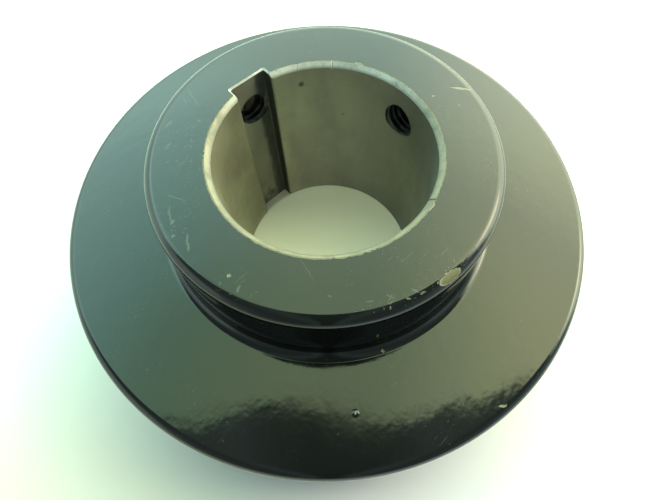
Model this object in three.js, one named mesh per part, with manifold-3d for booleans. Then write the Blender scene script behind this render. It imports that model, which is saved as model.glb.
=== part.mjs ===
// Single-groove V-belt pulley (sheave) with a finished bore, a keyway and two socket set screws.
// Millimetres. +Z is the shaft axis, pointing out of the long hub. The origin is on that axis at the
// back face, which the pulley stands on. The keyway opens along +Y and the second screw lies along +X.

import * as THREE from 'three';
import { mergeVertices } from 'three/addons/utils/BufferGeometryUtils.js';
import Module from 'manifold-3d';

const INCH = 25.4;

// Bore and keyway
const boreRadius = (1.875 * INCH) / 2;
const boreChamfer = 1.14;
const backBoreChamfer = 0.8;
const keywayWidth = 0.375 * INCH;
const keywayFloor = 26.35; // distance of the keyway's floor from the axis
const throughMargin = 2; // how far a cutting tool runs past the faces it cuts

// Stack along the axis, from the back face up
const totalLength = 2 * INCH;
const frontHubLength = 19.5;
const rimWidth = 0.875 * INCH;
const flangeFace = totalLength - frontHubLength;
const backHubLength = flangeFace - rimWidth;

// Hub
const hubRadius = 37.8;
const hubEdgeRadius = 2.4;
const hubFilletRadius = 2.4;
const backHubChamfer = 1.0;

// Rim and groove, for one classical B-section belt
const rimRadius = 62.25;
const rimEdgeRadius = 1.9;
const grooveTopWidth = 16.2;
const grooveDepth = 14;
const grooveHalfAngle = THREE.MathUtils.degToRad(17);
const grooveMiddle = backHubLength + rimWidth / 2;

// Set screws, 3/8-16 UNC, midway along the front hub
const screwPitch = INCH / 16;
const tappedHoleRadius = (0.375 * INCH) / 2;
const threadGap = 0.3; // plain cylinders stand for the threads, this far apart
const screwRadius = tappedHoleRadius - threadGap;
const screwLength = (5 / 16) * INCH;
const screwEndChamfer = 0.8;
const screwHeight = totalLength - frontHubLength / 2;
const hexAcrossFlats = (3 / 16) * INCH;
const hexDepth = 4.2;
const cupRadius = 2.6;
const cupDepth = 0.9;

// Each screw's point stands a whole number of turns back from what it clamps on:
// the shaft for the side screw, and the key for the screw over the keyway.
const keyTop = keywayFloor - 0.2;
const sideScrewTip = boreRadius + 3 * screwPitch;
const keywayScrewTip = keyTop + 2 * screwPitch;

// Facets
const turnedFacets = 72;
const screwFacets = 24;
const roundSteps = 3;

const enamel = new THREE.MeshStandardMaterial({ color: 0x14191a, roughness: 0.22, metalness: 0.0 });
const blackOxide = new THREE.MeshStandardMaterial({ color: 0x2a2826, roughness: 0.45, metalness: 0.9 });

const wasm = await Module();
wasm.setup();

// A closed geometry as a manifold solid.
function toSolid(geometry) {
  const bare = geometry.clone();
  bare.deleteAttribute('normal');
  bare.deleteAttribute('uv');
  const merged = mergeVertices(bare, 1e-4);
  const mesh = new wasm.Mesh({
    numProp: 3,
    vertProperties: merged.attributes.position.array,
    triVerts: new Uint32Array(merged.index.array),
  });
  return new wasm.Manifold(mesh);
}

// A manifold solid as a geometry.
function toGeometry(solid) {
  const mesh = solid.getMesh();
  const geometry = new THREE.BufferGeometry();
  geometry.setAttribute('position', new THREE.BufferAttribute(new Float32Array(mesh.vertProperties), 3));
  geometry.setIndex(new THREE.BufferAttribute(new Uint32Array(mesh.triVerts), 1));
  geometry.computeVertexNormals();
  return geometry;
}

// Points of a quarter-round stretch about a centre, from one angle to another in degrees.
function arc(centreR, centreZ, radius, fromDegrees, toDegrees, steps) {
  const points = [];
  for (let i = 0; i <= steps; i += 1) {
    const angle = THREE.MathUtils.degToRad(fromDegrees + ((toDegrees - fromDegrees) * i) / steps);
    points.push([centreR + radius * Math.cos(angle), centreZ + radius * Math.sin(angle)]);
  }
  return points;
}

// A solid turned about +Z from [radius, height] points that close on themselves or on the axis.
function turned(points, facets) {
  const profile = points.map(([r, z]) => new THREE.Vector2(r, z));
  const geometry = new THREE.LatheGeometry(profile, facets);
  geometry.rotateX(Math.PI / 2);
  return geometry;
}

// The section of the turned casting, up the outside and down the bore.
function bodySection() {
  const grooveHalfTop = grooveTopWidth / 2;
  const grooveHalfRoot = grooveHalfTop - grooveDepth * Math.tan(grooveHalfAngle);
  const grooveRoot = rimRadius - grooveDepth;
  const rimEdge = rimRadius - rimEdgeRadius;
  const hubEdge = hubRadius - hubEdgeRadius;
  const outside = [
    [boreRadius + backBoreChamfer, 0],
    [hubRadius - backHubChamfer, 0],
    [hubRadius, backHubChamfer],
    [hubRadius, backHubLength],
    ...arc(rimEdge, backHubLength + rimEdgeRadius, rimEdgeRadius, -90, 0, roundSteps),
    [rimRadius, grooveMiddle - grooveHalfTop],
    [grooveRoot, grooveMiddle - grooveHalfRoot],
    [grooveRoot, grooveMiddle + grooveHalfRoot],
    [rimRadius, grooveMiddle + grooveHalfTop],
    ...arc(rimEdge, flangeFace - rimEdgeRadius, rimEdgeRadius, 0, 90, roundSteps),
    ...arc(hubRadius + hubFilletRadius, flangeFace + hubFilletRadius, hubFilletRadius, 270, 180, roundSteps),
    ...arc(hubEdge, totalLength - hubEdgeRadius, hubEdgeRadius, 0, 90, roundSteps),
  ];
  const bore = [
    [boreRadius + boreChamfer, totalLength],
    [boreRadius, totalLength - boreChamfer],
    [boreRadius, backBoreChamfer],
    [boreRadius + backBoreChamfer, 0],
  ];
  return [...outside, ...bore];
}

// The straight slot that the keyway's cutter takes out, the full length of the bore.
function keywaySlot() {
  const start = boreRadius / 2;
  const depth = keywayFloor - start;
  const slot = new THREE.BoxGeometry(keywayWidth, depth, totalLength + 2 * throughMargin);
  slot.translate(0, start + depth / 2, totalLength / 2);
  return slot;
}

// A tapped hole's cylinder, from inside the bore out through the hub, along azimuth in radians.
function screwHole(azimuth) {
  const start = boreRadius / 2;
  const length = hubRadius + throughMargin - start;
  const hole = new THREE.CylinderGeometry(tappedHoleRadius, tappedHoleRadius, length, screwFacets);
  hole.rotateZ(-Math.PI / 2);
  hole.translate(start + length / 2, 0, 0);
  hole.rotateZ(azimuth);
  hole.translate(0, 0, screwHeight);
  return hole;
}

// The one-piece casting: hub, flange, rim and groove, with the keyway and both holes cut in it.
function makeBody(screwAzimuths) {
  let solid = toSolid(turned(bodySection(), turnedFacets)).subtract(toSolid(keywaySlot()));
  for (const azimuth of screwAzimuths) {
    solid = solid.subtract(toSolid(screwHole(azimuth)));
  }
  return toGeometry(solid);
}

// A set screw along +X with its cup point at x = 0 and its hex socket in the outer end.
function makeSetScrew() {
  const tipRadius = screwRadius - screwEndChamfer;
  const section = [
    [0, cupDepth],
    [cupRadius, 0],
    [tipRadius, 0],
    [screwRadius, screwEndChamfer],
    [screwRadius, screwLength - screwEndChamfer],
    [tipRadius, screwLength],
    [0, screwLength],
  ];
  const shank = turned(section, screwFacets);
  const hexRadius = hexAcrossFlats / 2 / Math.cos(Math.PI / 6);
  const socket = new THREE.CylinderGeometry(hexRadius, hexRadius, hexDepth + throughMargin, 6);
  socket.rotateX(Math.PI / 2);
  socket.translate(0, 0, screwLength - hexDepth + (hexDepth + throughMargin) / 2);
  const geometry = toGeometry(toSolid(shank).subtract(toSolid(socket)));
  geometry.rotateY(Math.PI / 2);
  return geometry;
}

const screws = [
  { name: 'side_set_screw', azimuth: 0, tip: sideScrewTip },
  { name: 'keyway_set_screw', azimuth: Math.PI / 2, tip: keywayScrewTip },
];

const group = new THREE.Group();

const body = new THREE.Mesh(makeBody(screws.map((screw) => screw.azimuth)), enamel);
body.name = 'pulley_body';
group.add(body);

for (const screw of screws) {
  const mesh = new THREE.Mesh(makeSetScrew(), blackOxide);
  mesh.name = screw.name;
  mesh.position.set(screw.tip * Math.cos(screw.azimuth), screw.tip * Math.sin(screw.azimuth), screwHeight);
  mesh.rotation.z = screw.azimuth;
  group.add(mesh);
}

export default group;
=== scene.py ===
"""Looks of a V-belt pulley: a gloss black casting with a bare machined bore, a keyway and two set screws.

Shapes are worked out in millimetres and written to the meshes in metres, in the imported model's frame:
+Z is the shaft axis out of the long hub, the origin is at the back face, the keyway opens along +Y and the
side set screw lies along +X.
"""

import math

import bmesh
import bpy
from mathutils import Matrix, Vector


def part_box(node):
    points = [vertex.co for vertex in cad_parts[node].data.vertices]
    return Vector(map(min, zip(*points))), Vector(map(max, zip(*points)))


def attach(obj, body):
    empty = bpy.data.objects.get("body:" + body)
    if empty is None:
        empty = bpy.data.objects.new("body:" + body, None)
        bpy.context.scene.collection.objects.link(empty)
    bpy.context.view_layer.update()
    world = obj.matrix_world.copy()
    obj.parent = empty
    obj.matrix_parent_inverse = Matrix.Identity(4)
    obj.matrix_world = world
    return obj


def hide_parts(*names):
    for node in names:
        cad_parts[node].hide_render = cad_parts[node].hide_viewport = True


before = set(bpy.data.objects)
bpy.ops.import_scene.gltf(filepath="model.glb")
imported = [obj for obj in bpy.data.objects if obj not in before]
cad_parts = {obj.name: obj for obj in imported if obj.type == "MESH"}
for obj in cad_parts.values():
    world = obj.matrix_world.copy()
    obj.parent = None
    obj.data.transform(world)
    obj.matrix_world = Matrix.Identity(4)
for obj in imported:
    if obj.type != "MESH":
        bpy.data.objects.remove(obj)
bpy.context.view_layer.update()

MM = 0.001
INCH = 25.4

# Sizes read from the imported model
CASTING_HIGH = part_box("pulley_body")[1] / MM
LENGTH = CASTING_HIGH.z
RIM_RADIUS = CASTING_HIGH.x
SIDE_SCREW_LOW, SIDE_SCREW_HIGH = (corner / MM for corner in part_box("side_set_screw"))
SCREW_HEIGHT = (SIDE_SCREW_LOW.z + SIDE_SCREW_HIGH.z) / 2
SCREW_LENGTH = SIDE_SCREW_HIGH.x - SIDE_SCREW_LOW.x
SIDE_SCREW_TIP = SIDE_SCREW_LOW.x
KEYWAY_SCREW_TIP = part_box("keyway_set_screw")[0].y / MM

# Bore and keyway
BORE_RADIUS = 1.875 * INCH / 2
BORE_CHAMFER = 1.05
BACK_BORE_CHAMFER = 0.8
KEYWAY_WIDTH = 0.375 * INCH
KEYWAY_FLOOR = 26.35
KEYWAY_CORNER = 0.5
KEYWAY_BREAK = 0.35

# Hub and rim
HUB_RADIUS = 37.8
FRONT_HUB_LENGTH = 19.5
RIM_WIDTH = 0.875 * INCH
FLANGE_FACE = LENGTH - FRONT_HUB_LENGTH
BACK_HUB_LENGTH = FLANGE_FACE - RIM_WIDTH
HUB_ROUNDING = 2.4
RIM_ROUNDING = 1.9
BACK_CHAMFER = 1.0
GROOVE_MIDDLE = BACK_HUB_LENGTH + RIM_WIDTH / 2
GROOVE_TOP_WIDTH = 16.2
GROOVE_DEPTH = 14.0
GROOVE_HALF_ANGLE = math.radians(17)
GROOVE_LIP_ROUNDING = 0.4
GROOVE_ROOT_FILLET = 1.0
HUB_FILLET = 2.4
BACK_HUB_FILLET = 1.4
BACK_EDGE_ROUNDING = 0.3
CHAMFER_ROUNDING = 0.12

# Threads, 3/8-16 UNC
PITCH = INCH / 16
THREAD_RADIUS = 0.375 * INCH / 2
THREAD_DEPTH = 0.8593
THREAD_PLAY = 0.09
COUNTERSINK = 0.5

# Socket and point of a set screw
HEX_ACROSS_FLATS = 3 / 16 * INCH
HEX_CORNER = HEX_ACROSS_FLATS / 2 / math.cos(math.radians(30))
HEX_DEPTH = 4.0
DRILL_POINT_DEPTH = 0.9
CUP_RADIUS = 2.55
CUP_DEPTH = 1.1
POINT_CHAMFER = 0.95

CASTING_SEGMENTS = 288
THREAD_SEGMENTS = 64
SHARP_ANGLE = math.radians(32)


# ---------------------------------------------------------------- camera, light and floor


# How far the view is turned about the shaft axis from one that looks along +Y
VIEW_TURN = math.radians(-41.8)
# The lens from the middle of the hub's front face, in the view's own axes: across, away and up
LENS_OFFSET = Vector((1.47, -59.5, 77.1))
LENS_FOCAL_LENGTH = 24.8
# How far the lens is raised from straight down: it points 64.8 degrees below the horizon
LENS_TILT = math.radians(90 - 64.8)
LENS_ROLL = math.radians(-0.7)

# The sky's light by height, from the horizon at 0 to straight up at 1: left, middle and right
BRIGHTEST_SKY = 16.0
LEFT_SKY = (
    (0.00, (2.4, 3.4, 3.1)),
    (0.30, (2.3, 3.4, 3.0)),
    (0.50, (2.7, 4.0, 3.6)),
    (0.62, (4.2, 6.4, 5.6)),
    (0.68, (4.3, 7.0, 6.2)),
    (0.73, (3.3, 5.7, 5.1)),
    (0.79, (2.7, 4.9, 4.2)),
    (0.86, (2.0, 3.8, 3.2)),
    (0.91, (1.6, 2.9, 2.0)),
    (0.96, (1.65, 2.65, 1.5)),
    (1.00, (1.5, 2.3, 1.3)),
)
MIDDLE_SKY = (
    (0.00, (2.4, 3.2, 2.8)),
    (0.30, (3.4, 4.6, 3.9)),
    (0.62, (4.1, 5.7, 4.7)),
    (0.72, (3.8, 5.3, 4.3)),
    (0.80, (3.4, 4.6, 3.5)),
    (0.94, (2.4, 3.4, 2.1)),
    (1.00, (2.4, 3.1, 1.75)),
)
RIGHT_SKY = (
    (0.00, (4.6, 5.0, 3.8)),
    (0.30, (6.8, 7.2, 5.2)),
    (0.50, (7.8, 8.4, 6.0)),
    (0.67, (8.2, 9.0, 6.5)),
    (0.73, (8.0, 8.7, 5.7)),
    (0.77, (7.0, 7.6, 4.9)),
    (0.81, (5.8, 6.3, 4.1)),
    (0.87, (5.8, 6.2, 3.6)),
    (0.92, (5.5, 5.9, 3.2)),
    (1.00, (5.0, 5.6, 3.0)),
)
WINDOW_DIRECTION = Vector((0.765, 0.225, 0.60)).normalized()
WINDOW_REACH = 0.21
WINDOW_LIGHT = (15.0, 14.6, 9.5)

# Where the light stops above the photographer: how far away, over the height, for each distance across
PHOTOGRAPHER_EDGE = (
    (-1.40, 0.100),
    (-0.79, 0.100),
    (-0.45, 0.090),
    (-0.28, 0.077),
    (-0.20, 0.106),
    (-0.11, 0.119),
    (-0.03, 0.106),
    (0.09, 0.076),
    (0.15, 0.080),
    (0.22, 0.106),
    (0.32, 0.118),
    (0.40, 0.158),
    (0.80, 0.050),
    (1.50, -0.150),
)
# How light the photographer is, for each distance across, and in what tint
FRONT_LEVELS = (
    (-2.20, 1.00),
    (-1.80, 0.85),
    (-1.60, 0.40),
    (-1.30, 0.28),
    (-0.80, 0.20),
    (-0.40, 0.20),
    (-0.20, 0.30),
    (-0.08, 0.10),
    (0.08, 0.10),
    (0.20, 0.30),
    (0.50, 0.20),
    (0.90, 0.22),
    (1.30, 0.28),
    (1.60, 0.35),
    (1.85, 0.60),
    (2.20, 0.50),
)
FRONT_TINT = tuple(c / BRIGHTEST_SKY for c in (1.18, 1.60, 1.48))


def make_camera():
    """A wide lens close to the part, looking steeply down at it from in front."""
    hub_face_centre = Vector((0, 0, LENGTH))
    place = hub_face_centre + Matrix.Rotation(VIEW_TURN, 3, "Z") @ LENS_OFFSET
    data = bpy.data.cameras.new("camera")
    data.sensor_width = 36.0
    data.lens = LENS_FOCAL_LENGTH
    data.clip_start = 0.002
    camera = bpy.data.objects.new("camera", data)
    turn = Matrix.Rotation(VIEW_TURN, 4, "Z")
    tilt = Matrix.Rotation(LENS_TILT, 4, "X")
    roll = Matrix.Rotation(LENS_ROLL, 4, "Z")
    camera.matrix_world = Matrix.Translation(place * MM) @ turn @ tilt @ roll
    bpy.context.scene.collection.objects.link(camera)
    bpy.context.scene.camera = camera


class Nodes:
    """Short calls for building one node tree."""

    def __init__(self, tree):
        self.tree = tree
        self.tree.nodes.clear()

    def add(self, kind, inputs=None, **settings):
        """A node of the given type, with socket values or links, and its properties set."""
        node = self.tree.nodes.new("ShaderNode" + kind)
        for name, value in settings.items():
            setattr(node, name, value)
        for name, value in (inputs or {}).items():
            if isinstance(value, bpy.types.NodeSocket):
                self.tree.links.new(value, node.inputs[name])
            else:
                node.inputs[name].default_value = value
        return node

    def math(self, operation, first, second=0.0, third=0.0, clamp=False):
        """The output of a Math node."""
        values = {0: first, 1: second, 2: third}
        return self.add("Math", values, operation=operation, use_clamp=clamp).outputs[0]

    def ramp(self, value, low, high, to_low=0.0, to_high=1.0):
        """value from low to high, eased and mapped to a new range."""
        inputs = {"Value": value, "From Min": low, "From Max": high, "To Min": to_low, "To Max": to_high}
        return self.add("MapRange", inputs, interpolation_type="SMOOTHSTEP").outputs["Result"]

    def blend(self, factor, first, second):
        """Two colours mixed by a factor."""
        node = self.add("Mix", data_type="RGBA")
        for socket, value in ((node.inputs[0], factor), (node.inputs[6], first), (node.inputs[7], second)):
            if isinstance(value, bpy.types.NodeSocket):
                self.tree.links.new(value, socket)
            elif socket is node.inputs[0]:
                socket.default_value = value
            else:
                socket.default_value = (*value, 1.0)
        return node.outputs[2]

    def gradient(self, value, stops):
        """A colour ramp through (position, colour) stops."""
        node = self.add("ValToRGB", {"Fac": value})
        elements = node.color_ramp.elements
        while len(elements) < len(stops):
            elements.new(1.0)
        for element, (position, colour) in zip(elements, stops, strict=True):
            element.position = position
            element.color = (*colour, 1.0)
        return node.outputs["Color"]

    def facing_part(self, vector):
        """A vector in the view's own axes: across to the right, away and up."""
        inputs = {"Vector": vector, "Angle": -VIEW_TURN}
        return self.add("VectorRotate", inputs, rotation_type="Z_AXIS").outputs[0]

    def curve(self, value, stops):
        """A number read off a line through (place, level) stops, level beyond both ends."""
        places, levels = zip(*stops, strict=True)
        first, last, bottom, top = places[0], places[-1], min(levels), max(levels)
        inputs = {"Value": value, "From Min": first, "From Max": last}
        share = self.add("MapRange", inputs).outputs["Result"]
        greys = [((p - first) / (last - first), ((v - bottom) / (top - bottom),) * 3) for p, v in stops]
        inputs = {"Value": self.gradient(share, greys), "To Min": bottom, "To Max": top}
        return self.add("MapRange", inputs).outputs["Result"]


def make_world():
    """A soft room: bright low at the back, cool on the left and warm on the right, and dim in front.

    Whoever holds the camera stands in front and leans over the part, so the light stops a little behind the
    point straight above it, along an uneven edge. A small warm window stands low on the right.
    """
    world = bpy.data.worlds.new("studio_dome")
    bpy.context.scene.world = world
    world.use_nodes = True
    n = Nodes(world.node_tree)
    direction = n.add("TexCoord").outputs["Generated"]
    seen = n.facing_part(direction)
    across, away, up = n.add("SeparateXYZ", {"Vector": seen}).outputs
    sideways = n.math("DIVIDE", across, n.math("MAXIMUM", up, 0.45))
    edge = n.curve(sideways, PHOTOGRAPHER_EDGE)
    past_edge = n.math("SUBTRACT", away, n.math("MULTIPLY", up, edge))
    softness = n.ramp(up, 0.5, 0.95, 0.12, 0.014)
    lit_share = n.ramp(n.math("DIVIDE", past_edge, softness), -1.0, 1.0)

    left = n.gradient(up, scaled_stops(LEFT_SKY))
    middle = n.gradient(up, scaled_stops(MIDDLE_SKY))
    right = n.gradient(up, scaled_stops(RIGHT_SKY))
    sky = n.blend(n.ramp(across, -0.38, -0.02), left, middle)
    sky = n.blend(n.ramp(across, 0.05, 0.45), sky, right)
    sky = n.blend(n.ramp(across, -0.50, -0.76, 0.0, 0.22), sky, (0.0, 0.0, 0.0))
    to_window = n.add("VectorMath", {0: seen, 1: WINDOW_DIRECTION}, operation="DISTANCE").outputs["Value"]
    window = tuple(c / BRIGHTEST_SKY for c in WINDOW_LIGHT)
    sky = n.blend(n.ramp(to_window, WINDOW_REACH, WINDOW_REACH / 2), sky, window)

    front = n.gradient(n.curve(sideways, FRONT_LEVELS), ((0.0, (0.0, 0.0, 0.0)), (1.0, FRONT_TINT)))
    colour = n.blend(lit_share, front, sky)
    background = n.add("Background", {"Color": colour, "Strength": BRIGHTEST_SKY})
    n.add("OutputWorld", {"Surface": background.outputs[0]})


def scaled_stops(stops):
    """Colour-ramp stops given as light values, as shares of the brightest."""
    return [(position, tuple(c / BRIGHTEST_SKY for c in colour)) for position, colour in stops]


def make_floor():
    """A plain pale tabletop, with painted shade that makes it greyer and tinted in front and a painted glow
    where the bore shows it.
    """
    size = 2.0
    mesh = bpy.data.meshes.new("floor")
    corners = [(-size, -size, 0), (size, -size, 0), (size, size, 0), (-size, size, 0)]
    mesh.from_pydata(corners, [], [(0, 1, 2, 3)])
    floor = bpy.data.objects.new("floor", mesh)
    bpy.context.scene.collection.objects.link(floor)
    material = bpy.data.materials.new("pale_tabletop")
    material.use_nodes = True
    n = Nodes(material.node_tree)
    place = n.add("TexCoord").outputs["Object"]
    seen = n.facing_part(place)
    across, away, _ = n.add("SeparateXYZ", {"Vector": seen}).outputs
    # Painted shade: greyer, tinted colours in front, greyer still further toward the camera, and a darker
    # cyan tint on the back's left.
    colour = n.blend(n.ramp(across, -0.045, 0.03), (0.52, 0.465, 0.44), (0.57, 0.56, 0.70))
    colour = n.blend(n.ramp(away, -0.30, -0.13), (0.20, 0.21, 0.22), colour)
    back = n.blend(n.ramp(across, -0.10, -0.05), (0.64, 0.76, 0.76), (0.84, 0.82, 0.78))
    colour = n.blend(n.ramp(away, -0.08, 0.0), colour, back)
    # Painted light: the tabletop glows faintly inside the bore's radius, where no lamp makes it glow.
    from_axis = n.add("VectorMath", {0: place}, operation="LENGTH").outputs["Value"]
    painted_glow_through_bore = n.ramp(from_axis, (BORE_RADIUS + 1) * MM, BORE_RADIUS * MM, 0.0, 0.13)
    values = {"Base Color": colour, "Roughness": 0.7, "Emission Strength": painted_glow_through_bore}
    shader = n.add("BsdfPrincipled", values | {"Emission Color": (0.85, 1.0, 0.6, 1.0)})
    n.add("OutputMaterial", {"Surface": shader.outputs[0]})
    mesh.materials.append(material)


# ---------------------------------------------------------------- mesh building


def mesh_object(name, points, faces):
    """An object from points in millimetres."""
    mesh = bpy.data.meshes.new(name)
    mesh.from_pydata([tuple(c * MM for c in p) for p in points], [], faces)
    mesh.validate()
    thing = bpy.data.objects.new(name, mesh)
    bpy.context.scene.collection.objects.link(thing)
    return thing


def rounded(corners, step_angle=math.radians(9)):
    """A closed (radius, height) outline from corners (radius, height, rounding), its arcs in short steps."""
    outline = []
    count = len(corners)
    for i, (r, z, radius) in enumerate(corners):
        here = Vector((r, z))
        to_last = (Vector(corners[i - 1][:2]) - here).normalized()
        to_next = (Vector(corners[(i + 1) % count][:2]) - here).normalized()
        opening = to_last.angle(to_next)
        reach = radius / math.tan(opening / 2)
        centre = here + (to_last + to_next).normalized() * radius / math.sin(opening / 2)
        start = here + to_last * reach - centre
        turn = start.angle_signed(here + to_next * reach - centre)
        steps = max(3, math.ceil(abs(turn) / step_angle))
        for k in range(steps + 1):
            angle = -turn * k / steps
            c, s = math.cos(angle), math.sin(angle)
            point = centre + Vector((start.x * c - start.y * s, start.x * s + start.y * c))
            outline.append((point.x, point.y))
    return outline


def turned(name, outline, segments):
    """A closed solid of revolution about +Z from an outline that doesn't touch the axis."""
    points = []
    for i in range(segments):
        angle = math.tau * i / segments
        points += [(r * math.cos(angle), r * math.sin(angle), z) for r, z in outline]
    rows = len(outline)
    faces = []
    for i in range(segments):
        this, following = i * rows, (i + 1) % segments * rows
        for j in range(rows):
            k = (j + 1) % rows
            faces.append((this + j, following + j, following + k, this + k))
    return mesh_object(name, points, faces)


def lofted(name, rings):
    """A closed solid through rings of points, with its first and last ring capped."""
    count = len(rings[0])
    points = [p for ring in rings for p in ring]
    faces = [tuple(reversed(range(count))), tuple(range(len(points) - count, len(points)))]
    for i in range(len(rings) - 1):
        for j in range(count):
            k = (j + 1) % count
            faces.append((i * count + j, i * count + k, (i + 1) * count + k, (i + 1) * count + j))
    return mesh_object(name, points, faces)


def circle(radius, height, segments):
    """A ring of points about +Z."""
    angles = [math.tau * i / segments for i in range(segments)]
    return [(radius * math.cos(a), radius * math.sin(a), height) for a in angles]


def thread_solid(name, low, high, shrink):
    """A right-hand threaded rod about +X from low to high, its helix fixed to the pulley's axis at x = 0.

    Every thread in the part shares that helix, so a screw's ridges lie in its hole's grooves. shrink is how
    far the rod's surface is set in from the basic thread form.
    """
    major = THREAD_RADIUS - shrink
    minor = major - THREAD_DEPTH
    form = ((0.0, major), (0.125, major), (0.4375, minor), (0.6875, minor))
    per_turn = len(form)
    first_turn = math.floor(low / PITCH) - 1
    rows = (math.ceil(high / PITCH) + 1 - first_turn) * per_turn
    points = []
    index = {}
    for i in range(THREAD_SEGMENTS):
        angle = math.tau * i / THREAD_SEGMENTS
        for j in range(rows + 1 + (per_turn if i == 0 else 0)):
            phase, radius = form[j % per_turn]
            x = PITCH * (first_turn + j // per_turn + phase + i / THREAD_SEGMENTS)
            index[i, j] = len(points)
            points.append((x, radius * math.cos(angle), radius * math.sin(angle)))

    def vertex(i, j):
        return index[i, j] if i < THREAD_SEGMENTS else index[0, j + per_turn]

    faces = []
    for i in range(THREAD_SEGMENTS):
        for j in range(rows):
            faces.append((vertex(i, j), vertex(i + 1, j), vertex(i + 1, j + 1), vertex(i, j + 1)))
    for row, outward in ((0, False), (rows, True)):
        loop = [index[i, row] for i in range(THREAD_SEGMENTS)]
        loop += [index[0, row + k] for k in range(per_turn, 0, -1)]
        middle = len(points)
        points.append((sum(points[v][0] for v in loop) / len(loop), 0.0, 0.0))
        for a, b in zip(loop, loop[1:] + loop[:1], strict=True):
            faces.append((middle, a, b) if outward else (middle, b, a))
    return mesh_object(name, points, faces)


def facing_out(thing):
    """Makes every face point outwards."""
    shape = bmesh.new()
    shape.from_mesh(thing.data)
    bmesh.ops.recalc_face_normals(shape, faces=shape.faces)
    if shape.calc_volume(signed=True) < 0:
        bmesh.ops.reverse_faces(shape, faces=shape.faces)
    shape.to_mesh(thing.data)
    shape.free()


def combine(target, tool, operation):
    """Cuts tool out of target, or keeps their common part, and removes tool."""
    facing_out(target)
    facing_out(tool)
    modifier = target.modifiers.new("combine", "BOOLEAN")
    modifier.operation = operation
    modifier.solver = "EXACT"
    modifier.object = tool
    bake_modifiers(target)
    bpy.data.objects.remove(tool)


def bake_modifiers(thing):
    """Replaces a mesh by its result with all modifiers applied."""
    result = bpy.data.meshes.new_from_object(thing.evaluated_get(bpy.context.evaluated_depsgraph_get()))
    result.name = thing.name
    thing.modifiers.clear()
    thing.data = result


def smooth_shading(thing):
    """Smooth faces with crisp edges, large flat faces keeping their own direction."""
    shape = bmesh.new()
    shape.from_mesh(thing.data)
    bmesh.ops.remove_doubles(shape, verts=shape.verts, dist=1e-7)
    bmesh.ops.dissolve_degenerate(shape, dist=1e-7, edges=shape.edges)
    for face in shape.faces:
        face.smooth = True
    for edge in shape.edges:
        edge.smooth = edge.is_manifold and edge.calc_face_angle(0.0) < SHARP_ANGLE
    shape.to_mesh(thing.data)
    shape.free()
    modifier = thing.modifiers.new("weighted_normals", "WEIGHTED_NORMAL")
    modifier.keep_sharp = True
    modifier.weight = 60
    bake_modifiers(thing)


# ---------------------------------------------------------------- the casting


def casting_outline():
    """The turned casting's section: back face, rim, groove, flange, hub and bore, going round outwards."""
    groove_half_top = GROOVE_TOP_WIDTH / 2
    groove_half_root = groove_half_top - GROOVE_DEPTH * math.tan(GROOVE_HALF_ANGLE)
    groove_root = RIM_RADIUS - GROOVE_DEPTH
    return rounded((
        (BORE_RADIUS + BACK_BORE_CHAMFER, 0, CHAMFER_ROUNDING),
        (HUB_RADIUS - BACK_CHAMFER, 0, BACK_EDGE_ROUNDING),
        (HUB_RADIUS, BACK_CHAMFER, BACK_EDGE_ROUNDING),
        (HUB_RADIUS, BACK_HUB_LENGTH, BACK_HUB_FILLET),
        (RIM_RADIUS, BACK_HUB_LENGTH, RIM_ROUNDING),
        (RIM_RADIUS, GROOVE_MIDDLE - groove_half_top, GROOVE_LIP_ROUNDING),
        (groove_root, GROOVE_MIDDLE - groove_half_root, GROOVE_ROOT_FILLET),
        (groove_root, GROOVE_MIDDLE + groove_half_root, GROOVE_ROOT_FILLET),
        (RIM_RADIUS, GROOVE_MIDDLE + groove_half_top, GROOVE_LIP_ROUNDING),
        (RIM_RADIUS, FLANGE_FACE, RIM_ROUNDING),
        (HUB_RADIUS, FLANGE_FACE, HUB_FILLET),
        (HUB_RADIUS, LENGTH, HUB_ROUNDING),
        (BORE_RADIUS + BORE_CHAMFER, LENGTH, CHAMFER_ROUNDING),
        (BORE_RADIUS, LENGTH - BORE_CHAMFER, CHAMFER_ROUNDING),
        (BORE_RADIUS, BACK_BORE_CHAMFER, CHAMFER_ROUNDING),
    ))


def keyway_ring(height, spread):
    """The keyway cutter's outline at one height, grown by spread. It has round root corners."""
    half = KEYWAY_WIDTH / 2 + spread
    floor = KEYWAY_FLOOR + spread
    wall = math.sqrt(BORE_RADIUS**2 - (KEYWAY_WIDTH / 2) ** 2)
    flank = [(half + KEYWAY_BREAK, BORE_RADIUS / 2), (half + KEYWAY_BREAK, wall - 0.02)]
    flank.append((half, wall + KEYWAY_BREAK))
    for k in range(5):
        angle = math.radians(90 * k / 4)
        x = half - KEYWAY_CORNER * (1 - math.cos(angle))
        flank.append((x, floor - KEYWAY_CORNER * (1 - math.sin(angle))))
    outline = flank + [(-x, y) for x, y in reversed(flank)]
    return [(x, y, height) for x, y in outline]


def keyway_cutter():
    """The straight slot, with its edges broken at both end faces."""
    past = 1.0
    return lofted("keyway_cutter", (
        keyway_ring(-past, KEYWAY_BREAK + past),
        keyway_ring(0, KEYWAY_BREAK),
        keyway_ring(KEYWAY_BREAK, 0),
        keyway_ring(LENGTH - KEYWAY_BREAK, 0),
        keyway_ring(LENGTH, KEYWAY_BREAK),
        keyway_ring(LENGTH + past, KEYWAY_BREAK + past),
    ))


def turn_to(thing, azimuth):
    """Turns a tool made along +X to an azimuth and lifts it to the screws' height."""
    place = Matrix.Translation((0, 0, SCREW_HEIGHT * MM)) @ Matrix.Rotation(azimuth, 4, "Z")
    thing.data.transform(place)


def countersink_cutter():
    """A short cone along +X that breaks the tapped hole's outer edge."""
    inside = 1.6
    outside = 2.0
    edge = THREAD_RADIUS + COUNTERSINK
    rings = [circle(edge + reach, HUB_RADIUS + reach, 48) for reach in (-inside, outside)]
    tool = lofted("countersink_cutter", rings)
    tool.data.transform(Matrix.Rotation(math.radians(90), 4, "Y"))
    return tool


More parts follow.
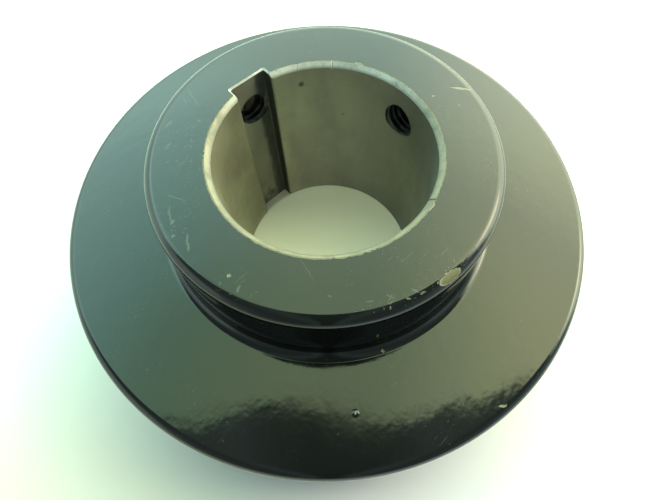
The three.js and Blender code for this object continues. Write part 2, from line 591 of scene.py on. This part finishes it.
def nick_cutter(azimuth, width, depth):
    """A small wedge across the front chamfer, for a knock in its edge."""
    margin = 0.3
    rings = []
    for past in (-margin, BORE_CHAMFER + margin):
        radius = BORE_RADIUS + past
        surface = LENGTH - BORE_CHAMFER + past
        above = surface + margin
        corners = ((-width / 2, above), (width / 2, above), (0, surface - depth))
        rings.append([(radius, y, z) for y, z in corners])
    tool = lofted("nick_cutter", rings)
    tool.data.transform(Matrix.Rotation(azimuth, 4, "Z"))
    return tool


def paint_blister(radius, azimuth, size):
    """A low dome where the paint has lifted on the flange."""
    steps = 6
    rings = [circle(size, -0.3, 32)]
    for k in range(steps):
        angle = math.radians(90 * k / steps)
        rings.append(circle(size * math.cos(angle), BLISTER_HEIGHT * math.sin(angle), 32))
    dome = lofted("paint_blister", rings)
    place = (radius * math.cos(azimuth), radius * math.sin(azimuth), FLANGE_FACE)
    dome.data.transform(Matrix.Translation([c * MM for c in place]))
    return dome


SCREW_AZIMUTHS = (0.0, math.radians(90))
# Knocks in the front chamfer: azimuth in degrees, width and depth
NICKS = ((44, 0.9, 0.4), (63, 0.5, 0.2), (-72, 0.8, 0.4), (30, 0.6, 0.15), (-128, 0.5, 0.2))
# The paint blister's distance from the axis, azimuth and radius
BLISTER = (50.4, math.radians(-125.5), 0.85)
BLISTER_HEIGHT = 0.22


def make_casting():
    """Hub, flange, rim, groove, bore, keyway and both tapped holes in one piece."""
    casting = turned("pulley_casting", casting_outline(), CASTING_SEGMENTS)
    combine(casting, paint_blister(*BLISTER), "UNION")
    combine(casting, keyway_cutter(), "DIFFERENCE")
    for azimuth, width, depth in NICKS:
        combine(casting, nick_cutter(math.radians(azimuth), width, depth), "DIFFERENCE")
    for azimuth in SCREW_AZIMUTHS:
        hole = thread_solid("hole_cutter", BORE_RADIUS / 2, HUB_RADIUS + 3, 0.0)
        turn_to(hole, azimuth)
        combine(casting, hole, "DIFFERENCE")
        sink = countersink_cutter()
        turn_to(sink, azimuth)
        combine(casting, sink, "DIFFERENCE")
    smooth_shading(casting)
    return casting


# ---------------------------------------------------------------- the set screws


def screw_blank():
    """The screw before threading, about +Z: cup point at 0, flat socket end at its full length."""
    outer = THREAD_RADIUS - THREAD_PLAY
    top = SCREW_LENGTH
    radii = (
        (CUP_RADIUS - 0.35, 0.12),
        (CUP_RADIUS - 0.1, 0.0),
        (CUP_RADIUS + 0.35, 0.0),
        (outer - POINT_CHAMFER, 0.35),
        (outer + 0.02, 0.35 + POINT_CHAMFER),
        (outer + 0.02, top - POINT_CHAMFER * 0.7),
        (outer - POINT_CHAMFER, top - 0.06),
        (outer - POINT_CHAMFER - 0.15, top),
    )
    cone = [circle(0.02, CUP_DEPTH, 96)]
    return lofted("screw_blank", cone + [circle(r, z, 96) for r, z in radii])


def hex_cutter():
    """The socket: a six-sided hole with a drill point at its bottom."""
    bottom = SCREW_LENGTH - HEX_DEPTH
    drill_point = circle(0.03, bottom - DRILL_POINT_DEPTH, 6)
    past_end = circle(HEX_CORNER, SCREW_LENGTH + 1, 6)
    return lofted("hex_cutter", (drill_point, circle(HEX_CORNER, bottom, 6), past_end))


def mouth_cutter():
    """The cone at the socket's mouth."""
    inner = circle(HEX_CORNER - 0.75, SCREW_LENGTH - 0.85, 48)
    outer = circle(HEX_CORNER + 1.1, SCREW_LENGTH + 1.0, 48)
    return lofted("mouth_cutter", (inner, outer))


def make_set_screw(name, tip, azimuth):
    """A threaded set screw with its point at a distance from the axis, in its tapped hole."""
    screw = screw_blank()
    screw.name = name
    screw.data.transform(Matrix.Rotation(math.radians(90), 4, "Y"))
    screw.data.transform(Matrix.Translation((tip * MM, 0, 0)))
    rod = thread_solid("thread_tool", tip - PITCH, tip + SCREW_LENGTH + PITCH, THREAD_PLAY)
    combine(screw, rod, "INTERSECT")
    for tool in (hex_cutter(), mouth_cutter()):
        tool.data.transform(Matrix.Rotation(math.radians(90), 4, "Y"))
        tool.data.transform(Matrix.Translation((tip * MM, 0, 0)))
        combine(screw, tool, "DIFFERENCE")
    turn_to(screw, azimuth)
    smooth_shading(screw)
    return screw


# ---------------------------------------------------------------- materials


def new_material(name):
    """An empty node material and its tree."""
    material = bpy.data.materials.new(name)
    material.use_nodes = True
    return material, Nodes(material.node_tree)


# Marks on the enamel, each an oval: height of the surface, radius and azimuth (degrees) of its middle, how
# far its long side turns from the radial direction, half its length and half its width, and how strong it is
HUB_CHIPS = (
    (LENGTH - 0.3, 36.7, -93.4, 88, 2.8, 1.1, 1.0),
    (LENGTH, 34.5, -14.0, -38, 3.0, 0.28, 0.38),
    (LENGTH, 28.0, -11.4, 10, 0.45, 0.3, 0.9),
    (LENGTH, 25.3, 29.4, 90, 1.2, 0.35, 0.9),
    (LENGTH, 25.2, -76.0, 85, 1.3, 0.2, 0.7),
    (LENGTH, 33.0, -163.7, 60, 0.42, 0.3, 0.9),
    (LENGTH, 36.2, -103.0, 80, 0.7, 0.2, 0.3),
    (LENGTH, 36.0, -107.5, 60, 0.5, 0.2, 0.3),
)
FLANGE_CHIPS = (
    (FLANGE_FACE + BLISTER_HEIGHT, 50.4, -125.5, 0, 0.35, 0.25, 0.4),
    (FLANGE_FACE, 60.3, -96.1, 70, 1.0, 0.28, 0.38),
    (FLANGE_FACE + 0.5, 39.5, -114.5, 0, 0.4, 0.35, 1.0),
)
SCUFFS = (
    (LENGTH, 32.3, 112.0, -35, 3.2, 0.15, 0.75),
    (LENGTH, 33.4, 114.5, -49, 2.2, 0.12, 0.6),
    (LENGTH, 34.1, 126.0, 70, 1.3, 0.4, 0.45),
    (LENGTH, 28.0, 122.4, 10, 0.5, 0.3, 0.8),
    (LENGTH, 32.7, 136.3, 60, 1.1, 0.4, 0.4),
    (LENGTH, 31.4, 159.5, -40, 2.4, 0.14, 0.6),
    (LENGTH, 33.9, 168.0, 40, 0.6, 0.4, 0.8),
    (LENGTH, 33.6, 165.0, 74, 2.2, 0.28, 0.5),
    (LENGTH, 35.0, 173.0, 40, 0.5, 0.4, 0.8),
    (LENGTH, 33.4, 177.8, 62, 2.3, 0.25, 0.7),
    (LENGTH, 34.3, -158.8, 30, 0.8, 0.2, 0.8),
    (LENGTH, 27.3, -138.8, 38, 3.2, 0.09, 0.5),
    (LENGTH, 32.3, -130.3, 60, 0.5, 0.2, 0.4),
    (LENGTH, 34.1, -118.4, 80, 0.8, 0.2, 0.4),
    (LENGTH, 34.6, -112.2, 45, 1.0, 0.15, 0.6),
    (LENGTH, 34.6, -112.4, -50, 0.9, 0.15, 0.45),
    (LENGTH, 35.3, -104.5, 40, 1.0, 0.2, 0.6),
    (LENGTH, 31.4, -20.8, 10, 0.4, 0.25, 0.7),
)


def marks(n, place, ovals):
    """How far each point is covered by a list of ovals, from 0 to 1."""
    cover = None
    for height, radius, azimuth, turn, half_length, half_width, strength in ovals:
        angle = math.radians(azimuth)
        inside = n.add("Mapping", {
            "Vector": place,
            "Location": (radius * math.cos(angle) * MM, radius * math.sin(angle) * MM, height * MM),
            "Rotation": (0, 0, angle + math.radians(turn)),
            "Scale": (half_length * MM, half_width * MM, 1.2 * MM),
        }, vector_type="TEXTURE")
        reach = n.add("VectorMath", {0: inside.outputs[0]}, operation="LENGTH").outputs["Value"]
        mark = n.ramp(reach, 1.05, 0.68, 0.0, strength)
        cover = mark if cover is None else n.math("MAXIMUM", cover, mark)
    return cover


def spread(n, place, scale, detail=2.0, roughness=0.5):
    """Noise over a surface."""
    settings = {"Vector": place, "Scale": scale, "Detail": detail, "Roughness": roughness}
    return n.add("TexNoise", settings).outputs["Fac"]


def jittered(n, place, scale, reach):
    """Places moved about by noise, for ragged outlines. reach is in millimetres."""
    shift = n.add("TexNoise", {"Vector": place, "Scale": scale, "Detail": 3.0}).outputs["Color"]
    centred = n.add("VectorMath", {0: shift, 1: (0.5, 0.5, 0.5)}, operation="SUBTRACT").outputs[0]
    moved = n.add("VectorMath", {0: centred, "Scale": reach * MM * 2}, operation="SCALE").outputs[0]
    return n.add("VectorMath", {0: place, 1: moved}, operation="ADD").outputs[0]


def gloss_enamel():
    """Thick black gloss enamel with orange peel, chips down to the primer and handling scuffs."""
    material, n = new_material("gloss_black_enamel")
    place = n.add("TexCoord").outputs["Object"]
    x, y, z = n.add("SeparateXYZ", {"Vector": place}).outputs
    flat = n.add("CombineXYZ", {"X": x, "Y": y}).outputs[0]
    radius = n.math("DIVIDE", n.add("VectorMath", {0: flat}, operation="LENGTH").outputs["Value"], MM)
    on_hub = n.ramp(z, (LENGTH - 2.5) * MM, (LENGTH - 0.8) * MM)

    ragged = jittered(n, place, 900.0, 0.45)
    chips = n.math("MAXIMUM", marks(n, ragged, HUB_CHIPS), marks(n, ragged, FLANGE_CHIPS))
    flaked_edge = n.math("ADD", n.ramp(radius, 25.7, 25.0), spread(n, place, 700.0, 3.0, 0.7))
    chips = n.math("MAXIMUM", chips, n.math("MULTIPLY", on_hub, n.ramp(flaked_edge, 1.36, 1.42, 0.0, 0.9)))
    front_edge = n.math("MULTIPLY", n.ramp(radius, 34.0, 35.6), n.ramp(radius, 37.4, 36.2))
    toward_front = n.ramp(n.math("MULTIPLY_ADD", y, -1.0, n.math("MULTIPLY", x, -0.2)), 0.031, 0.036)
    flecks = n.math("MULTIPLY", n.math("MULTIPLY", front_edge, toward_front), on_hub)
    fleck_noise = n.ramp(spread(n, place, 1300.0, 3.0, 0.7), 0.60, 0.70, 0.0, 0.42)
    chips = n.math("MAXIMUM", chips, n.math("MULTIPLY", flecks, fleck_noise))

    scuffs = marks(n, jittered(n, place, 500.0, 0.5), SCUFFS)
    dust_zone = n.ramp(spread(n, place, 90.0, 2.0), 0.46, 0.62)
    dust = n.math("MULTIPLY", n.ramp(spread(n, place, 1700.0, 2.0, 0.6), 0.64, 0.72), dust_zone)
    sweep = {"Vector": place, "Rotation": (0, 0, 0.7), "Scale": (1.0, 14.0, 1.0)}
    swept = n.add("Mapping", sweep).outputs[0]
    hairs = n.math("MULTIPLY", n.ramp(spread(n, swept, 160.0, 1.0), 0.70, 0.74), dust_zone)
    worn = n.math("MAXIMUM", n.math("MULTIPLY", dust, 0.75), n.math("MULTIPLY", hairs, 0.5))
    worn = n.math("MAXIMUM", n.math("MULTIPLY", worn, n.ramp(z, 0.048, 0.0505, 0.6, 1.0)), scuffs)

    black = n.blend(spread(n, place, 60.0), (0.0018, 0.0024, 0.0024), (0.0034, 0.0036, 0.0032))
    scuffed = n.blend(worn, black, (0.045, 0.055, 0.05))
    primer = n.blend(spread(n, place, 1200.0), (0.12, 0.105, 0.048), (0.07, 0.062, 0.03))
    primer = n.blend(n.ramp(chips, 0.62, 0.97), (0.17, 0.165, 0.115), primer)
    colour = n.blend(n.ramp(chips, 0.1, 0.5), scuffed, primer)
    smudges = n.ramp(spread(n, place, 45.0, 4.0), 0.35, 0.75, 0.05, 0.11)
    chipped = n.math("MULTIPLY", chips, 0.6)
    roughness = n.math("MAXIMUM", smudges, n.math("MAXIMUM", chipped, n.math("MULTIPLY", worn, 0.3)))

    peel = n.math("MULTIPLY", spread(n, place, 650.0, 1.0), 0.000008)
    waves = n.math("MULTIPLY", spread(n, place, 260.0, 2.0), 0.000022)
    pits = n.math("MULTIPLY", chips, -0.00008)
    nibs = n.add("TexVoronoi", {"Vector": place, "Scale": 130.0}).outputs["Distance"]
    nibs = n.math("MULTIPLY", n.ramp(nibs, 0.035, 0.0), 0.00003)
    height = n.math("ADD", n.math("ADD", peel, waves), n.math("ADD", pits, nibs))
    bump = n.add("Bump", {"Height": height, "Distance": 1.0})
    values = {"Base Color": colour, "Roughness": roughness, "Normal": bump.outputs[0]}
    shader = n.add("BsdfPrincipled", values)
    n.add("OutputMaterial", {"Surface": shader.outputs[0]})
    return material


# The middle of a dark pit in the bore's wall, in metres
BORE_PIT = (0.0112, 0.0210, LENGTH * MM - 0.0052)


def bored_iron():
    """Bare bored iron: fine feed lines round the bore and brown stains, painted shade on its +X side,
    painted light toward its back, and grime and painted shade in the keyway.
    """
    material, n = new_material("bored_iron")
    place = n.add("TexCoord").outputs["Object"]
    x, y, z = n.add("SeparateXYZ", {"Vector": place}).outputs
    down = n.add("Mapping", {"Vector": place, "Scale": (1.0, 1.0, 0.35)}).outputs[0]
    around = n.add("Mapping", {"Vector": place, "Scale": (0.05, 0.05, 1.0)}).outputs[0]
    stains = n.ramp(spread(n, down, 120.0, 4.0, 0.6), 0.32, 0.70)
    patches = n.ramp(spread(n, place, 60.0, 3.0), 0.42, 0.68)
    feed = spread(n, around, 3800.0, 2.0)
    iron = n.blend(stains, (0.50, 0.475, 0.335), (0.39, 0.375, 0.275))
    iron = n.blend(n.math("MULTIPLY", patches, 0.55), iron, (0.27, 0.23, 0.16))
    iron = n.blend(n.ramp(feed, 0.35, 0.75, 0.0, 0.18), iron, (0.20, 0.18, 0.13))
    # Painted shade: the bore is darker and bluer toward its +X side.
    painted_shade_toward_side = n.math("MULTIPLY_ADD", x, 0.94, n.math("MULTIPLY", y, -0.2))
    iron = n.blend(n.ramp(painted_shade_toward_side, -0.004, 0.022, 0.0, 0.67), iron, (0.105, 0.13, 0.14))
    # Painted light: the bore is paler and bluer toward its back.
    painted_light_toward_back = n.math("MULTIPLY_ADD", x, 0.67, n.math("MULTIPLY", y, 0.75))
    iron = n.blend(n.ramp(painted_light_toward_back, 0.010, 0.022, 0.0, 0.25), iron, (0.42, 0.40, 0.46))
    to_pit = n.add("VectorMath", {0: jittered(n, place, 900.0, 0.3), 1: BORE_PIT}, operation="DISTANCE")
    pit = n.ramp(to_pit.outputs["Value"], 0.0010, 0.0004, 0.0, 0.75)
    iron = n.blend(pit, iron, (0.05, 0.05, 0.045))
    spots = n.ramp(spread(n, place, 330.0, 2.0), 0.74, 0.80, 0.0, 0.6)
    iron = n.blend(spots, iron, (0.07, 0.065, 0.05))

    # In the keyway the iron is darker and less metallic: grime all over, painted shade on its +X side beside
    # the wall, and darker towards the bottom.
    in_keyway = n.ramp(y, 23.3 * MM, 23.9 * MM)
    streaks = n.math("MULTIPLY", n.math("SUBTRACT", spread(n, down, 500.0, 3.0), 0.5), 0.0024)
    shaded_side = n.ramp(n.math("ADD", x, streaks), 0.0002, 0.0028)
    darker_toward_bottom = n.math("MULTIPLY", n.ramp(z, 0.020, 0.002), n.ramp(spread(n, down, 420.0, 4.0), 0.36, 0.66))
    dulled_and_shaded = n.math("MAXIMUM", n.math("MAXIMUM", shaded_side, darker_toward_bottom), 0.35)
    grime_and_painted_shade = n.math("MULTIPLY", in_keyway, dulled_and_shaded)
    colour = n.blend(n.math("MULTIPLY", grime_and_painted_shade, 0.95), iron, (0.018, 0.021, 0.022))

    bump = n.add("Bump", {"Height": n.math("MULTIPLY", feed, 0.000012), "Distance": 1.0})
    roughness = n.ramp(stains, 0.0, 1.0, 0.42, 0.55)
    metallic = n.ramp(grime_and_painted_shade, 0.0, 1.0, 0.85, 0.0)
    values = {"Base Color": colour, "Roughness": roughness, "Metallic": metallic, "Normal": bump.outputs[0]}
    shader = n.add("BsdfPrincipled", values)
    n.add("OutputMaterial", {"Surface": shader.outputs[0]})
    return material


def turned_edge():
    """The bright cut chamfer round the bore and the deburred edges of the keyway, with painted light making
    them paler toward the back.
    """
    material, n = new_material("turned_edge")
    place = n.add("TexCoord").outputs["Object"]
    tint = n.ramp(spread(n, place, 240.0, 4.0, 0.65), 0.38, 0.66)
    colour = n.blend(tint, (0.22, 0.205, 0.145), (0.14, 0.132, 0.095))
    x, y, _ = n.add("SeparateXYZ", {"Vector": place}).outputs
    # Painted light: the chamfer and edges are paler and greyer toward the back.
    painted_light_far_side = n.ramp(n.math("ADD", n.math("MULTIPLY", x, 0.67), n.math("MULTIPLY", y, 0.75)), 0.008, 0.022)
    colour = n.blend(painted_light_far_side, colour, n.blend(tint, (0.54, 0.55, 0.54), (0.38, 0.385, 0.375)))
    flat = n.add("CombineXYZ", {"X": x, "Y": y}).outputs[0]
    from_axis = n.add("VectorMath", {0: flat}, operation="LENGTH").outputs["Value"]
    worn_inner = n.ramp(from_axis, (BORE_RADIUS + 0.6) * MM, BORE_RADIUS * MM, 0.0, 0.7)
    colour = n.blend(worn_inner, colour, (0.09, 0.095, 0.08))
    dirt = n.ramp(spread(n, place, 900.0, 3.0, 0.7), 0.62, 0.72, 0.0, 0.8)
    colour = n.blend(dirt, colour, (0.11, 0.10, 0.065))
    height = n.math("MULTIPLY", spread(n, place, 1600.0, 2.0), 0.00004)
    bump = n.add("Bump", {"Height": height, "Distance": 1.0})
    roughness = n.ramp(tint, 0.0, 1.0, 0.42, 0.56)
    values = {"Base Color": colour, "Roughness": roughness, "Metallic": 0.12, "Normal": bump.outputs[0]}
    shader = n.add("BsdfPrincipled", values)
    n.add("OutputMaterial", {"Surface": shader.outputs[0]})
    return material


def tapped_iron():
    """The dark threads of the tapped holes, darker and glossier in patches."""
    material, n = new_material("tapped_iron")
    place = n.add("TexCoord").outputs["Object"]
    # Dark all over, and darker and glossier in patches.
    dark_glossy_patches = n.ramp(spread(n, place, 500.0, 3.0), 0.35, 0.65)
    colour = n.blend(dark_glossy_patches, (0.075, 0.08, 0.08), (0.03, 0.033, 0.035))
    roughness = n.ramp(dark_glossy_patches, 0.0, 1.0, 0.45, 0.3)
    values = {"Base Color": colour, "Roughness": roughness, "Metallic": 0.7}
    shader = n.add("BsdfPrincipled", values)
    n.add("OutputMaterial", {"Surface": shader.outputs[0]})
    return material


def black_oxide():
    """Black-oxide steel, rubbed paler on the thread crests and the socket's mouth."""
    material, n = new_material("black_oxide_steel")
    place = n.add("TexCoord").outputs["Object"]
    edges = n.add("NewGeometry").outputs["Pointiness"]
    rubbed = n.math("MULTIPLY", n.ramp(edges, 0.52, 0.58), n.ramp(spread(n, place, 900.0, 3.0), 0.35, 0.6))
    patches = n.ramp(spread(n, place, 350.0, 4.0), 0.35, 0.68)
    oxide = n.blend(patches, (0.055, 0.052, 0.05), (0.11, 0.095, 0.08))
    colour = n.blend(n.math("MULTIPLY", rubbed, 0.7), oxide, (0.38, 0.36, 0.33))
    roughness = n.ramp(patches, 0.0, 1.0, 0.32, 0.5)
    height = n.math("MULTIPLY", spread(n, place, 2200.0, 2.0), 0.000006)
    bump = n.add("Bump", {"Height": height, "Distance": 1.0})
    values = {"Base Color": colour, "Roughness": roughness, "Metallic": 0.9, "Normal": bump.outputs[0]}
    shader = n.add("BsdfPrincipled", values)
    n.add("OutputMaterial", {"Surface": shader.outputs[0]})
    return material


def in_tapped_hole(centre):
    """True on the threads of either tapped hole, and not on the bore, keyway or hub round its ends."""
    on_bore = abs(centre.xy.length - BORE_RADIUS) < 0.03
    on_keyway_floor = abs(centre.y - KEYWAY_FLOOR) < 0.03
    if on_bore or on_keyway_floor or centre.xy.length > HUB_RADIUS - 0.02:
        return False
    for azimuth in SCREW_AZIMUTHS:
        along = Vector((math.cos(azimuth), math.sin(azimuth), 0))
        from_axis = centre - Vector((0, 0, SCREW_HEIGHT))
        reach = from_axis.dot(along)
        off_axis = (from_axis - along * reach).length
        if reach > 0 and off_axis < THREAD_RADIUS + 0.02:
            return True
    return False


def finish_at(centre, normal):
    """The casting's finish at a face: paint, bored iron, bright cut edge or dark threads."""
    sloping = 0.2 < abs(normal.z) < 0.9
    in_slot = abs(centre.x) < KEYWAY_WIDTH / 2 + KEYWAY_BREAK and 0 < centre.y < KEYWAY_FLOOR + KEYWAY_BREAK
    in_bore = centre.xy.length < BORE_RADIUS + BORE_CHAMFER
    if in_tapped_hole(centre):
        return "threads"
    if abs(normal.z) < 0.9 and (in_slot or in_bore):
        return "edge" if sloping else "bored"
    return "paint"


def paint_casting(casting):
    """Enamel outside and bare iron inside."""
    finishes = {"paint": gloss_enamel, "bored": bored_iron, "edge": turned_edge, "threads": tapped_iron}
    casting.data.materials.clear()
    for make_finish in finishes.values():
        casting.data.materials.append(make_finish())
    order = list(finishes)
    for polygon in casting.data.polygons:
        polygon.material_index = order.index(finish_at(polygon.center / MM, polygon.normal))


# ---------------------------------------------------------------- assembly

make_camera()
make_world()
make_floor()

casting = make_casting()
paint_casting(casting)
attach(casting, "pulley")
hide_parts("pulley_body")

screw_finish = black_oxide()
for screw_name, screw_body, screw_tip, screw_azimuth in (
    ("side_screw_threaded", "side_screw", SIDE_SCREW_TIP, SCREW_AZIMUTHS[0]),
    ("keyway_screw_threaded", "keyway_screw", KEYWAY_SCREW_TIP, SCREW_AZIMUTHS[1]),
):
    screw = make_set_screw(screw_name, screw_tip, screw_azimuth)
    screw.data.materials.clear()
    screw.data.materials.append(screw_finish)
    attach(screw, screw_body)
    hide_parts("side_set_screw" if screw_body == "side_screw" else "keyway_set_screw")

bpy.context.scene.view_settings.view_transform = "Standard"
